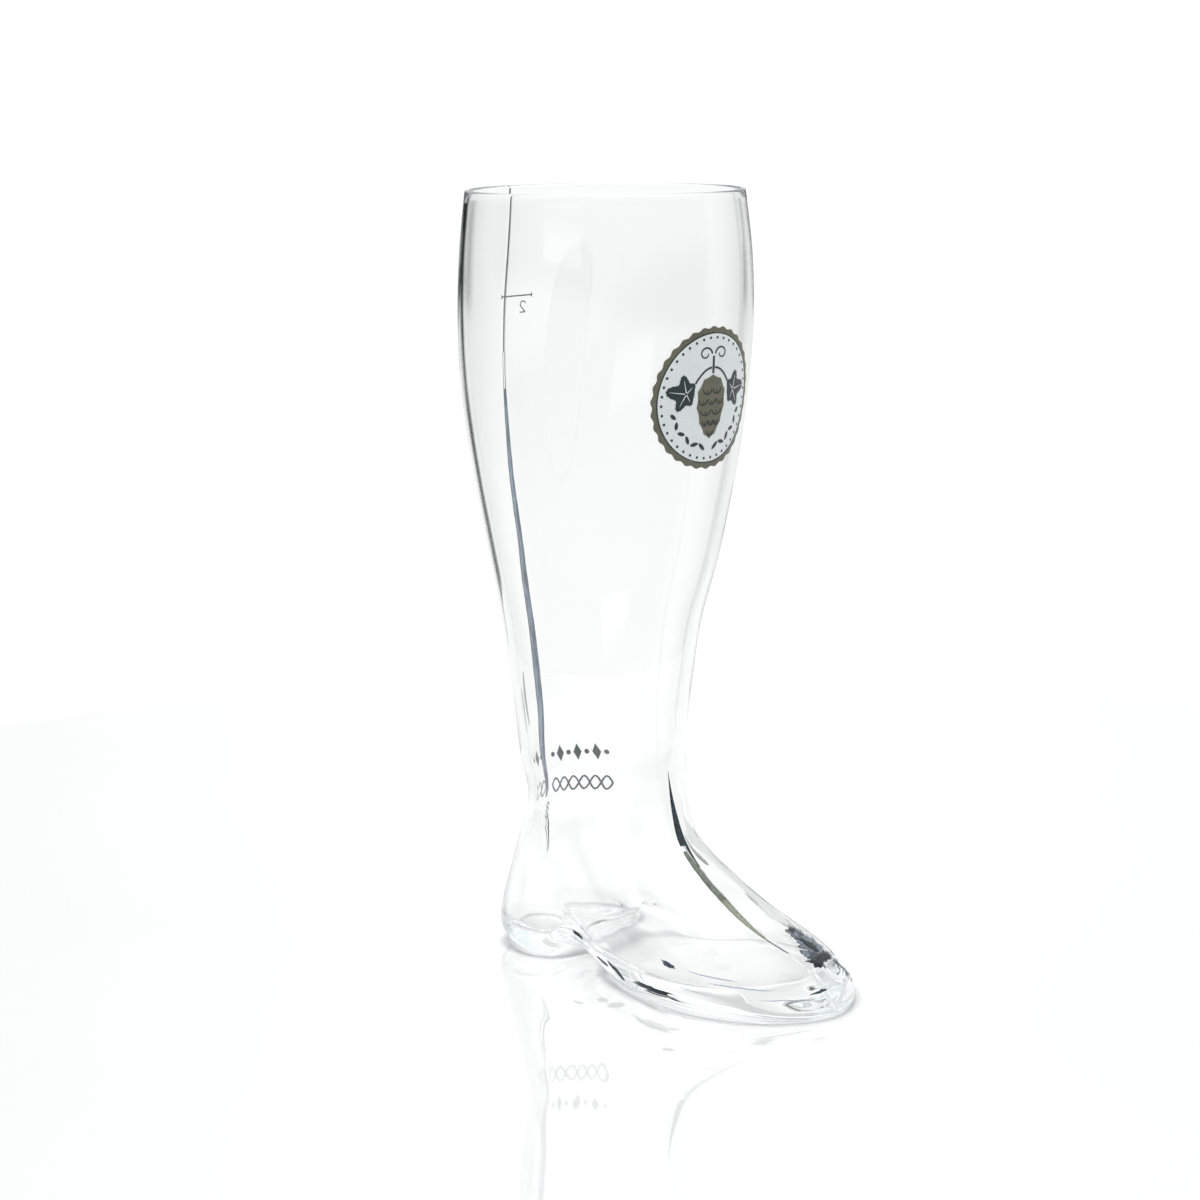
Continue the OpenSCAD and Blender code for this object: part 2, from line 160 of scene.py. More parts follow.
# ---------------------------------------------------------------- meshes
def new_mesh(name, verts, faces, mat, smooth=True):
    mesh = bpy.data.meshes.new(name)
    mesh.from_pydata([tuple(v) for v in verts], [], faces)
    bm = bmesh.new()
    bm.from_mesh(mesh)
    bmesh.ops.remove_doubles(bm, verts=bm.verts, dist=1e-7)
    bmesh.ops.dissolve_degenerate(bm, edges=bm.edges, dist=1e-8)
    bmesh.ops.recalc_face_normals(bm, faces=bm.faces)
    for f in bm.faces:
        f.smooth = smooth
    bm.to_mesh(mesh)
    bm.free()
    mesh.materials.append(mat)
    obj = bpy.data.objects.new(name, mesh)
    bpy.context.scene.collection.objects.link(obj)
    return obj


# ---------------------------------------------------------------- node helpers
def material(name):
    m = bpy.data.materials.new(name)
    m.use_nodes = True
    nt = m.node_tree
    return m, nt, nt.nodes["Principled BSDF"], nt.nodes["Material Output"]


def node(nt, kind, **values):
    n = nt.nodes.new(kind)
    for k, v in values.items():
        setattr(n, k, v)
    return n


def math_node(nt, op, a, b=None, c=None):
    n = nt.nodes.new("ShaderNodeMath")
    n.operation = op
    for i, v in enumerate((a, b, c)):
        if v is None:
            continue
        if hasattr(v, "is_output"):
            nt.links.new(v, n.inputs[i])
        else:
            n.inputs[i].default_value = v
    return n.outputs[0]


def step(nt, x, a, b, lo=0.0, hi=1.0):
    """Smooth step of socket x from lo at a to hi at b."""
    n = nt.nodes.new("ShaderNodeMapRange")
    n.interpolation_type = "SMOOTHSTEP"
    nt.links.new(x, n.inputs[0])
    n.inputs[1].default_value, n.inputs[2].default_value = a, b
    n.inputs[3].default_value, n.inputs[4].default_value = lo, hi
    return n.outputs[0]


def noise_node(nt, scale, detail=2.0, rough=0.5, stretch=None):
    tc = node(nt, "ShaderNodeTexCoord")
    n = node(nt, "ShaderNodeTexNoise")
    n.inputs["Scale"].default_value = scale
    n.inputs["Detail"].default_value = detail
    n.inputs["Roughness"].default_value = rough
    if stretch:
        mp = node(nt, "ShaderNodeMapping")
        mp.inputs["Scale"].default_value = stretch
        nt.links.new(tc.outputs["Object"], mp.inputs["Vector"])
        nt.links.new(mp.outputs["Vector"], n.inputs["Vector"])
    else:
        nt.links.new(tc.outputs["Object"], n.inputs["Vector"])
    return n


def ramp(nt, fac, stops):
    r = node(nt, "ShaderNodeValToRGB")
    els = r.color_ramp.elements
    els[0].position, els[0].color = stops[0][0], (*stops[0][1], 1)
    els[1].position, els[1].color = stops[-1][0], (*stops[-1][1], 1)
    for pos, col in stops[1:-1]:
        e = els.new(pos)
        e.color = (*col, 1)
    nt.links.new(fac, r.inputs[0])
    return r.outputs[0]


def bump(nt, height, strength, distance, target):
    b = node(nt, "ShaderNodeBump")
    b.inputs["Strength"].default_value = strength
    b.inputs["Distance"].default_value = distance
    nt.links.new(height, b.inputs["Height"])
    nt.links.new(b.outputs[0], target)
    return b


# ---------------------------------------------------------------- materials
def make_glass():
    m, nt, p, out = material("clear_glass")
    p.inputs["Base Color"].default_value = (1, 1, 1, 1)
    p.inputs["Metallic"].default_value = 0
    p.inputs["Roughness"].default_value = 0.0
    p.inputs["IOR"].default_value = 1.51
    p.inputs["Transmission Weight"].default_value = 1.0
    # faint mould chill, drawn out down the wall
    n = noise_node(nt, 60, 3, 0.5, (1, 1, 0.25))
    bump(nt, n.outputs["Fac"], 0.03, 0.0004, p.inputs["Normal"])
    v = node(nt, "ShaderNodeVolumeAbsorption")
    v.inputs["Color"].default_value = (0.72, 0.84, 0.86, 1)
    v.inputs["Density"].default_value = 0.8
    nt.links.new(v.outputs[0], out.inputs["Volume"])
    return m


def make_enamel(name, dark, light, scale, rough=(0.32, 0.45), metal=0.0, grain=0.25):
    """Fired ink: two close tones in a fine grain, a slightly uneven gloss and an orange-peel bump."""
    m, nt, p, out = material(name)
    fine = noise_node(nt, scale, 3, 0.6)
    broad = noise_node(nt, 90, 2, 0.5)
    mixed = math_node(nt, "ADD", math_node(nt, "MULTIPLY", fine.outputs["Fac"], 0.75), math_node(nt, "MULTIPLY", broad.outputs["Fac"], 0.25))
    nt.links.new(ramp(nt, mixed, [(0.35, dark), (0.65, light)]), p.inputs["Base Color"])
    nt.links.new(step(nt, broad.outputs["Fac"], 0.3, 0.7, *rough), p.inputs["Roughness"])
    p.inputs["Metallic"].default_value = metal
    bump(nt, fine.outputs["Fac"], grain, 0.00005, p.inputs["Normal"])
    return m


GLASS = make_glass()
WHITE = make_enamel("enamel_white", (0.74, 0.78, 0.80), (0.84, 0.87, 0.88), 2500)
BRONZE = make_enamel("enamel_bronze", (0.085, 0.085, 0.062), (0.205, 0.195, 0.145), 3400, (0.34, 0.5), 0.35, 0.6)
DARK = make_enamel("enamel_dark", (0.008, 0.018, 0.019), (0.016, 0.032, 0.033), 2500)
TEAL = make_enamel("enamel_teal", (0.13, 0.185, 0.205), (0.19, 0.25, 0.27), 2500)

# ---------------------------------------------------------------- the glass
def half_turn():
    near = [0, 0.2, 0.4, 0.6, 0.85, 1.1, 1.4, 1.8, 2.3, 3.0, 3.9, 5.0, 6.2]
    return near + list(np.linspace(7.5, 172.5, 111)) + [180 - v for v in reversed(near)][0:]


HALF = np.array(half_turn())
TURN = np.concatenate([HALF, 360 - HALF[1:-1][::-1]])
NT = len(TURN)


def body_z(first):
    return np.concatenate([np.arange(first, 60, 1.25), np.arange(60, 130, 2.0), np.arange(130, 331, 4.0)])


def wave_outer(p, z):
    """How far the outer skin stands off its true form, in millimetres."""
    foot = 1 - ease(60, 130, z)
    return (0.035 * gradient_noise(p, 26, 11) + 0.02 * foot * gradient_noise(p, 9, 12)) * ease(0, 10, z)


def wave_inner(p, z):
    """The blown inside is freer: slow waves in the shaft, ripples in the foot."""
    foot = 1 - ease(28, 70, z)
    toe = ease(20, 75, p[..., 0]) * foot
    return (0.05 * gradient_noise(p, 34, 21) + (0.15 * foot + 0.85 * toe) * (0.10 * gradient_noise(p, 17, 22) + 0.04 * gradient_noise(p * [1, 1, 0.6], 8, 23))
            + toe * 0.3 * gradient_noise(p, 13, 24))


def displaced(rows, wave, sign):
    """Moves each ring's points in or out from the ring's middle by wave()."""
    out = []
    for z, pts in rows:
        mid = np.array([(pts[:, 0].min() + pts[:, 0].max()) / 2, 0, 0])
        d = (pts - mid) * [1, 1, 0]
        d /= np.maximum(np.linalg.norm(d, axis=1), 1e-9)[:, None]
        out.append(pts + d * (wave(pts, np.full(len(pts), z)) * sign)[:, None])
    return out


def make_glass_body():
    rows = []
    for inset in (6.0, 2.5, 0.6):
        s = SOLE_EDGE + inset
        rows.append((0.0, skin(0.0, TURN, s, s, s)))
    edge = np.radians(np.linspace(0, 82, 9))
    for t in edge:
        s = SOLE_EDGE * (1 - math.sin(t))
        z = SOLE_EDGE * (1 - math.cos(t))
        rows.append((z, skin(z, TURN, s, s, s, seam=math.sin(t))))
    for z in body_z(SOLE_EDGE):
        rows.append((z, skin(z, TURN, seam=1.0)))
    outer = displaced(rows, wave_outer, 1)
    rim = []
    w = RIM_WALL / 2
    for t in np.linspace(0, math.pi, 13):
        s = w - w * math.cos(t)
        rim.append(skin(TOP, TURN, s, s, s, up=w * (math.sin(t) - 1), seam=max(0.0, math.cos(t))))
    rows = []
    r = 6.0
    for inset in (9.0, 4.0, 1.0):
        s = r + inset
        rows.append((SOLE_T, skin(SOLE_T, TURN, side_wall(SOLE_T) + s, front_wall(SOLE_T) + s, side_wall(SOLE_T) + s)))
    for t in np.radians(np.linspace(0, 80, 8)):
        z = SOLE_T + r * (1 - math.cos(t))
        s = r * (1 - math.sin(t))
        rows.append((z, skin(z, TURN, side_wall(z) + s, front_wall(z) + s, side_wall(z) + s)))
    for z in body_z(SOLE_T + r):
        rows.append((z, skin(z, TURN, side_wall(z), front_wall(z), side_wall(z))))
    inner = displaced(rows, wave_inner, 1)[::-1]
    rings = outer + rim + inner
    verts = np.concatenate(rings) * MM
    faces = []
    for i in range(len(rings) - 1):
        for j in range(NT):
            k = (j + 1) % NT
            faces.append((i * NT + j, i * NT + k, (i + 1) * NT + k, (i + 1) * NT + j))
    for o in (0, (len(rings) - 1) * NT):
        h = NT // 2
        for i in range(h):
            a, b, c, d = o + i, o + i + 1, o + (NT - i - 1) % NT, o + (NT - i) % NT
            if i == 0:
                faces.append((a, b, c))
            elif i == h - 1:
                faces.append((a, b, d))
            else:
                faces.append((a, b, c, d))
    obj = new_mesh("boot_glass", verts, faces, GLASS)
    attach(obj, "root")
    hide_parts("glass_body")
    return obj


# ---------------------------------------------------------------- prints
LIFT, INK = 0.02, 0.12 / K


def on_skin(a0, z0, u, v, off, col=7):
    """A place drawn flat, u to the viewer's right and v up in millimetres, about angle a0 and height z0, off the skin.
    The column of LEVELS gives the radius that turns u into an angle."""
    u, v, off = np.broadcast_arrays(*[np.asarray(x, float) for x in (u, v, off)])
    z = z0 + v
    r = blend(LEVELS[:, 0], LEVELS[:, col], z)
    a = a0 + np.degrees(u / r)
    p = skin(z, a, seam=1.0)
    ta = skin(z, a + 0.5) - skin(z, a - 0.5)
    tz = skin(z + 0.5, a) - skin(z - 0.5, a)
    n = np.cross(ta, tz)
    n /= np.linalg.norm(n, axis=-1)[..., None]
    return (p + n * off[..., None]) * MM


def sheet_mesh(grids, a0, z0, off=LIFT, t=INK, closed=False, col=7):
    """Thin closed solids on the skin, one for each grid of (u, v) places."""
    verts, faces = [], []
    for grid in grids:
        g = np.asarray(grid, float)
        nr, nc = g.shape[:2]
        base = sum(len(v) for v in verts)
        lo = on_skin(a0, z0, g[..., 0], g[..., 1], off, col).reshape(-1, 3)
        hi = on_skin(a0, z0, g[..., 0], g[..., 1], off + t, col).reshape(-1, 3)
        verts += [lo, hi]
        n = nr * nc
        last = nc if closed else nc - 1
        for i in range(nr - 1):
            for j in range(last):
                a, b = base + i * nc + j, base + i * nc + (j + 1) % nc
                c, d = a + nc, b + nc
                faces += [(a, b, d, c), (n + a, n + c, n + d, n + b)]
        for j in range(last):
            a, b = base + j, base + (j + 1) % nc
            faces.append((a, n + a, n + b, b))
            a, b = a + (nr - 1) * nc, b + (nr - 1) * nc
            faces.append((a, b, n + b, n + a))
        if not closed:
            for i in range(nr - 1):
                a, c = base + i * nc, base + (i + 1) * nc
                faces.append((a, c, n + c, n + a))
                a, c = a + nc - 1, c + nc - 1
                faces.append((a, n + a, n + c, c))
    return np.concatenate(verts), faces


def disc_mesh(outlines, a0, z0, steps=6, off=LIFT, t=INK):
    """The same for filled outlines, each (middle, list of places) and star-shaped about its middle."""
    verts, faces, base = [], [], 0
    for mid, outline in outlines:
        mid, o = np.asarray(mid, float), np.asarray(outline, float)
        nc, nr = len(o), steps
        g = np.array([mid + (o - mid) * (i + 1) / steps for i in range(steps)])
        lo = on_skin(a0, z0, g[..., 0], g[..., 1], off).reshape(-1, 3)
        hi = on_skin(a0, z0, g[..., 0], g[..., 1], off + t).reshape(-1, 3)
        ml = on_skin(a0, z0, mid[0], mid[1], off).reshape(1, 3)
        mh = on_skin(a0, z0, mid[0], mid[1], off + t).reshape(1, 3)
        verts += [lo, hi, ml, mh]
        n = nr * nc
        for j in range(nc):
            k = (j + 1) % nc
            faces += [(base + 2 * n, base + k, base + j), (base + 2 * n + 1, base + n + j, base + n + k)]
            for i in range(nr - 1):
                a, b = base + i * nc + j, base + i * nc + k
                faces += [(a, b, b + nc, a + nc), (n + a, n + a + nc, n + b + nc, n + b)]
            a, b = base + (nr - 1) * nc + j, base + (nr - 1) * nc + k
            faces.append((a, b, n + b, n + a))
        base += 2 * n + 2
    return np.concatenate(verts), faces


def band(path, w):
    """Grid of places for a stroke of width w, a number or one for each point, along a path."""
    p = np.asarray(path, float)
    w = np.broadcast_to(np.asarray(w, float), (len(p),))
    d = np.gradient(p, axis=0)
    d /= np.maximum(np.linalg.norm(d, axis=1), 1e-9)[:, None]
    side = np.stack([d[:, 1], -d[:, 0]], -1) * (w / 2)[:, None]
    return np.stack([p + side, p - side], 1)


def print_piece(name, made, mat, node_name):
    obj = new_mesh(name, made[0], made[1], mat)
    flat_edges(obj)
    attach(obj, "root")
    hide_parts(node_name)
    return obj


def flat_edges(obj):
    """Keeps a print's rim crisp where its top meets its sides."""
    bm = bmesh.new()
    bm.from_mesh(obj.data)
    for e in bm.edges:
        if len(e.link_faces) == 2 and e.calc_face_angle(0) > 0.6:
            e.smooth = False
    bm.to_mesh(obj.data)
    bm.free()


def circle(r, n, start=0.0):
    a = np.radians(start + np.arange(n) * 360.0 / n)
    return np.stack([r * np.cos(a), r * np.sin(a)], -1)


BF, BZ = 180.0, 256 / K
R_OUT = 30.5 / K
R_IN = R_OUT - 2.6 / K
R_KEY = R_IN - 0.6
R_FIELD = R_KEY - 0.05
ON_FIELD = LIFT + INK + 0.02
ON_CONE = ON_FIELD + INK + 0.02
CONE = np.array([0, -3.6])


def make_badge():
    print_piece("badge_ground", disc_mesh([((0, 0), circle(R_FIELD, 240))], BF, BZ, 16), WHITE, "badge_field")
    a = np.radians(np.arange(640) * 360 / 640)
    s = R_OUT - 0.4 + 0.4 * np.cos(32 * a)
    rings = [(R_IN + (s - R_IN) * k)[:, None] * np.stack([np.cos(a), np.sin(a)], -1) for k in (0, 0.34, 0.67, 1)]
    print_piece("badge_scalloped_border", sheet_mesh([rings], BF, BZ, closed=True), BRONZE, "badge_border")
    print_piece("badge_inner_line", sheet_mesh([[circle(R_KEY, 360), circle(R_IN - 0.02, 360)]], BF, BZ, closed=True), DARK, "badge_keyline")
    beads = []
    for i in range(40):
        b = math.radians((i + 0.5) * 9)
        m = (R_FIELD - 1.5) * np.array([math.cos(b), math.sin(b)])
        beads.append((m, m + circle(0.55, 20)))
    print_piece("badge_bead_ring", disc_mesh(beads, BF, BZ, 2, ON_FIELD), DARK, "badge_beads")
    sprigs = []
    for sgn in (1, -1):
        for i in range(6):
            b = math.radians(-90 + sgn * (11 + i * 12))
            m = 20.6 * np.array([math.cos(b), math.sin(b)])
            t = b + math.pi / 2 + sgn * math.radians(32 if i % 2 == 0 else -32)
            ln, wd = 2.2 - 0.12 * i, 0.8
            k = np.radians(np.arange(32) * 11.25)
            along, across = ln * np.cos(k), wd * np.sin(k) * np.abs(np.sin(k)) ** 0.35
            sprigs.append((m, m + along[:, None] * [math.cos(t), math.sin(t)] + across[:, None] * [-math.sin(t), math.cos(t)]))
    print_piece("badge_garland", disc_mesh(sprigs, BF, BZ, 3, ON_FIELD), DARK, "badge_sprigs")
    k = np.radians(np.arange(240) * 1.5)
    v, c = np.sin(k), np.cos(k)
    teeth = np.abs(np.sin(6 * k))
    cone = np.stack([8.2 * c * (1 + 0.26 * v) * (1 - 0.08 * teeth), 13.4 * v * (1 - 0.05 * teeth)], -1) + CONE
    print_piece("badge_hop", disc_mesh([(CONE, cone)], BF, BZ, 12, ON_FIELD), BRONZE, "badge_hop_cone")
    scales = []
    for r in range(5):
        v, h, n = 7.6 - r * 4.4, [5.6, 7.4, 6.4, 4.9, 2.0][r], [2, 3, 2, 3, 1][r]
        for i in range(n):
            w = 2 * h / n
            u = -h + w * (i + 0.5)
            t = np.radians(180 + np.arange(25) * 7.5)
            scales.append(band(np.stack([u + 0.43 * w * np.cos(t), v + 2.2 * np.sin(t)], -1) + CONE, 0.18 + 0.42 * np.sin(t - math.pi)))
            scales.append(band(CONE + np.array([[u, v - 1.7 + 0.25 * j] for j in range(6)]), np.linspace(0.36, 0.12, 6)))
    print_piece("badge_hop_scales", sheet_mesh(scales, BF, BZ, ON_CONE), DARK, "badge_cone_scales")

    def lobe(b, c, w):
        return np.exp(-((((b - c + 540) % 360) - 180) / w) ** 2)

    leaves = []
    for sgn in (1, -1):
        m = np.array([sgn * 14, 2.6])
        b = np.arange(288) * 1.25 * sgn
        r = 3.9 + 5.5 * lobe(b, 0, 27) + 3.9 * (lobe(b, 68, 22) + lobe(b, -68, 22)) + 1.5 * (lobe(b, 128, 20) + lobe(b, -128, 20))
        r = r + 0.4 * np.abs(((b % 10) / 5) - 1)
        d = np.radians(b + 8)
        leaves.append((m, m + np.stack([sgn * r * np.cos(d), r * np.sin(d)], -1)))
    print_piece("badge_hop_leaves", disc_mesh(leaves, BF, BZ, 8, ON_FIELD), DARK, "badge_leaves")
    veins = []
    for sgn in (1, -1):
        m = np.array([sgn * 14, 2.6])
        for tip, ln in ((0, 8.2), (68, 5.8), (-68, 5.8), (128, 3.7), (-128, 3.7)):
            d = math.radians(tip + 8)
            e = np.array([sgn * math.cos(d), math.sin(d)])
            veins.append(band([m + e * ln * j / 10 for j in range(1, 11)], np.linspace(0.42, 0.12, 10)))
    obj = new_mesh("badge_leaf_veins", *sheet_mesh(veins, BF, BZ, ON_CONE), WHITE)
    flat_edges(obj)
    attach(obj, "root")
    stems = [band([(0, 10.4 + i * 0.4) for i in range(19)], 1.1)]
    for sgn in (-1, 1):
        i = np.linspace(0, 5, 41)
        stems.append(band(np.stack([sgn * (0.9 + i * 1.75), 12.8 - 0.05 * i - 0.24 * i * i], -1), 0.8))
        i = np.linspace(0, 14, 85)
        t = np.radians(i * 26)
        stems.append(band(np.stack([sgn * (4.6 - (3.6 - i * 0.17) * np.cos(t)), 18.6 + (3.0 - i * 0.14) * np.sin(t)], -1), 0.75 - 0.02 * i))
    print_piece("badge_hop_stem", sheet_mesh(stems, BF, BZ, ON_FIELD), DARK, "badge_stem")


FL, FZ = 356.0, 292 / K
AZ = 75 / K


def make_marks():
    h = 9.4
    u = np.linspace(-h, h, 189)
    w = 0.62 + 1.5 * (1 - ease(0.0, 1.0, h - np.abs(u)))
    print_piece("fill_line_print", sheet_mesh([band(np.stack([u, 0 * u], -1), w)], FL, FZ), DARK, "fill_line")
    c = np.array([-4.4, -7.4])
    t = np.radians(np.linspace(165, -35, 41))
    two = np.concatenate([c + np.stack([1.5 * np.cos(t), 3.3 + 1.5 * np.sin(t)], -1), c + np.array([[0.55, 1.95], [0.2, 1.6], [-0.2, 1.2], [-0.6, 0.8], [-1.0, 0.4], [-1.35, 0.05]])])
    foot = c + np.array([[x, -0.2] for x in np.linspace(-1.6, 1.65, 14)])
    print_piece("capacity_print", sheet_mesh([band(two, 0.55), band(foot, 0.55)], FL, FZ), DARK, "capacity_figure")
    shapes = []
    for i in range(-7, 4):
        u = i * 4.2
        if abs(u) > 2:
            if i % 2 == 0:
                corner = np.array([[1.9, 0], [0, 3.7], [-1.9, 0], [0, -3.7], [1.9, 0]])
                o = np.concatenate([corner[j] + (corner[j + 1] - corner[j]) * np.linspace(0, 1, 8, endpoint=False)[:, None] for j in range(4)])
            else:
                o = circle(1.1, 28)
            shapes.append(((u, 0), o + [u, 0]))
    print_piece("ankle_lozenge_row", disc_mesh(shapes, 360, AZ + 8, 3), TEAL, "ankle_lozenges")
    strands = []
    for x0, n in ((-30, 48), (2.6, 20)):
        for sgn in (-1, 1):
            i = np.linspace(0, n, n * 6 + 1)
            x = x0 + i * 0.575
            y = sgn * 3.0 * np.sin(np.radians(i * 22.5))
            strands.append((sgn, band(np.stack([x, y], -1), 0.85)))
    low = sheet_mesh([g for s, g in strands if s > 0], 360, AZ - 6)
    high = sheet_mesh([g for s, g in strands if s < 0], 360, AZ - 6, LIFT + INK + 0.02)
    verts = np.concatenate([low[0], high[0]])
    faces = low[1] + [tuple(k + len(low[0]) for k in f) for f in high[1]]
    print_piece("ankle_braid_band", (verts, faces), TEAL, "ankle_braid")


# ---------------------------------------------------------------- floor, light, camera
def make_shade_sheet(name, dark, light, rough=0.06, streak=(1, 1, 0.08), scale=1400):
    """Painted shade: a clear sheet with a tint that runs in streaks, standing for the darkness that refraction gives
    the mould's parting line and other marks in the glass.
    """
    m, nt, p, out = material(name)
    n = noise_node(nt, scale, 3, 0.6, streak)
    nt.links.new(ramp(nt, n.outputs["Fac"], [(0.36, dark), (0.64, light)]), p.inputs["Base Color"])
    p.inputs["Roughness"].default_value = rough
    p.inputs["IOR"].default_value = 1.3
    p.inputs["Transmission Weight"].default_value = 0.9
    return m


# painted shade and painted reflection: tinted clear sheets for the dark and blue-grey lines and patches that
# refraction and reflection put in the clear glass
SLATE = make_shade_sheet("painted_shade_slate", (0.022, 0.036, 0.040), (0.075, 0.10, 0.115))
BLUE = make_shade_sheet("painted_shade_blue", (0.030, 0.062, 0.108), (0.25, 0.35, 0.455), scale=620)
STEEL = make_shade_sheet("painted_shade_steel", (0.035, 0.052, 0.075), (0.11, 0.145, 0.19))
OLIVE = make_shade_sheet("painted_shade_olive", (0.14, 0.165, 0.145), (0.27, 0.30, 0.25))
STRAW = make_shade_sheet("painted_shade_straw", (0.24, 0.27, 0.21), (0.46, 0.49, 0.39))
RIPPLE_SHADE = make_shade_sheet("ripple_painted_shade", (0.42, 0.49, 0.58), (0.60, 0.66, 0.73))
TOE_SHADE = make_shade_sheet("toe_painted_shade_tint", (0.14, 0.18, 0.23), (0.40, 0.46, 0.53), streak=(1, 1, 1), scale=900)
COAL = make_shade_sheet("painted_shade_and_reflection_coal", (0.010, 0.018, 0.024), (0.06, 0.085, 0.11), streak=(1, 1, 1), scale=900)


def strip(z, lo, hi, n=7):
    """Grid of (u, height) places between the curves lo(z) and hi(z)."""
    z, lo, hi = np.broadcast_arrays(np.asarray(z, float), lo, hi)
    t = np.linspace(0, 1, n)
    return np.stack([lo[:, None] + (hi - lo)[:, None] * t, np.repeat(z[:, None], n, 1)], -1)


def glass_piece(name, made, mat):
    obj = new_mesh(name, made[0], made[1], mat)
    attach(obj, "root")
    return obj


def waver(z, scale, seed):
    return gradient_noise(np.stack([0 * z, 0 * z, z], -1), scale, seed)


def make_seams():
    """Painted shade of the parting line as it reads in the glass: strips that stand for the darkness its ridge takes
    from refraction, dark and thin near the rim, broad and blue down the calf.
    """
    z = np.linspace(262, 334.5, 160)
    w = 0.42 + 0.05 * waver(z, 9, 31)
    top = strip(z, drift(z) - w, drift(z) + w)
    z = np.linspace(243, 262, 50)
    thin = [strip(z, drift(z) + s * 0.6 - 0.17, drift(z) + s * 0.6 + 0.17, 3) for s in (-1, 1)]
    glass_piece("rear_seam_top", sheet_mesh([top] + thin, 360, 0, 0.02, 0.1, col=3), SLATE)
    z = np.linspace(66, 246, 420)
    half = blend([66, 74, 89, 107, 134, 152, 197, 241, 246], [0.9, 1.3, 1.85, 2.05, 1.95, 1.75, 1.25, 0.8, 0.6], z)
    half = half + 0.12 * waver(z, 7, 32)
    glass_piece("rear_seam_core", sheet_mesh([strip(z, drift(z) - half, drift(z) + half, 9)], 360, 0, 0.02, 0.1, col=3), BLUE)
    edge = blend([66, 80, 112, 150, 190, 246], [0.3, 0.34, 0.55, 0.66, 0.45, 0.28], z) * (1 + 0.35 * waver(z, 11, 33))
    left, right = strip(z, drift(z) - half - 0.08 - edge * 0.9, drift(z) - half - 0.08, 3), strip(z, drift(z) + half + 0.08 - edge * 0.8, drift(z) + half + 0.08, 3)
    glass_piece("rear_seam_edges", sheet_mesh([left, right], 360, 0, 0.14, 0.06, col=3), STEEL)
    # painted shade on the inner face: the dark knot under the ankle, the small bubbles in the line, and the long drop
    # they end in
    z = np.linspace(63.5, 76, 60)
    w = blend([63.5, 66, 72, 76], [0.35, 0.9, 1.3, 0.3], z)
    glass_piece("rear_seam_knot", sheet_mesh([strip(z, drift(z) - w, drift(z) + w)], 360, 0, 0.14, 0.06, col=3), SLATE)
    z = np.linspace(35.5, 57, 80)
    gap = blend([35.5, 42, 50, 57], [0.05, 0.5, 0.8, 0.2], z)
    wall = blend([35.5, 40, 46, 52, 57], [0.2, 0.6, 0.9, 0.8, 0.3], z)
    drop = [strip(z, drift(z) - gap - wall, drift(z) - gap, 3), strip(z, drift(z) + gap, drift(z) + gap + wall * 0.8, 3)]
    glass_piece("rear_seam_drop", sheet_mesh(drop, 360, 0, -4.75, 0.08, col=3), SLATE)
    t = np.radians(np.arange(0, 361, 15))
    rings = [band(np.stack([drift(h) + c + 0.75 * r * np.cos(t), h + r * np.sin(t)], -1), 0.4) for c, h, r in ((0.1, 61.6, 0.8), (-0.2, 59.4, 0.95), (0.15, 56.2, 1.6))]
    glass_piece("rear_seam_bubbles", sheet_mesh(rings, 360, 0, -4.3, 0.08, col=3), SLATE)
    # two cords in the glass beside it, over the ankle, with their darkness as painted shade
    z = np.linspace(98.5, 123, 80)
    mid = blend([98.5, 111, 123], [-0.2, 1.2, -0.7], z)
    w = 1.5 * np.sin(np.pi * np.clip((z - 98.5) / 24.5, 0.02, 0.98)) ** 0.5
    glass_piece("ankle_cord_dark", sheet_mesh([strip(z, mid - w, mid + w, 5)], 386.5, 0, 0.02, 0.1, col=3), SLATE)
    z = np.linspace(96, 117, 70)
    w = 1.8 * np.sin(np.pi * np.clip((z - 96) / 21, 0.02, 0.98)) ** 0.5
    mid = 0.4 * waver(z, 8, 35)
    glass_piece("ankle_cord_pale", sheet_mesh([strip(z, mid - w, mid + w, 5)], 397, 0, 0.02, 0.1, col=3), STEEL)
    # painted shade of the parting line over the instep
    z = np.linspace(57, 88, 90)
    lo = blend([57, 61, 70, 80, 88], [-3.3, -3.1, -2.0, -0.8, -0.05], z)
    hi = blend([57, 61, 70, 80, 88], [0.9, 0.8, 0.6, 0.3, 0.05], z)
    dark = [strip(z, lo, hi)]
    z = np.linspace(49, 57, 30)
    dark.append(strip(z, blend([49, 57], [-0.9, -0.8], z), blend([49, 57], [-0.5, 0.9], z), 4))
    glass_piece("front_seam_upper", sheet_mesh(dark, 180, 0, 0.02, 0.1, col=11), SLATE)
    z = np.linspace(38, 55, 70)
    lo = blend([38, 43, 55], [-4.2, -4.4, -3.5], z) + 0.15 * waver(z, 3, 41)
    hi = blend([38, 43, 49, 55], [-0.7, -0.9, -0.95, -1.9], z) + 0.1 * waver(z, 3, 42)
    glass_piece("front_seam_middle", sheet_mesh([strip(z, lo, hi)], 180, 0, 0.02, 0.1, col=11), OLIVE)
    z = np.linspace(24.6, 38, 60)
    lo = blend([24.6, 32, 38], [-1.8, -3.6, -4.2], z) + 0.1 * waver(z, 2, 43)
    hi = blend([24.6, 32, 38], [-0.9, -0.4, -0.7], z) + 0.1 * waver(z, 2, 44)
    glass_piece("front_seam_lower", sheet_mesh([strip(z, lo, hi)], 180, 0, 0.02, 0.1, col=11), STRAW)
    z = np.linspace(21.5, 24.6, 24)
    mid = blend([21.5, 24.6], [-0.2, -1.35], z) + 0.25 * waver(z, 1.2, 45)
    glass_piece("front_seam_tail", sheet_mesh([strip(z, mid - 0.3, mid + 0.3, 3)], 180, 0, 0.02, 0.1, col=11), STEEL)


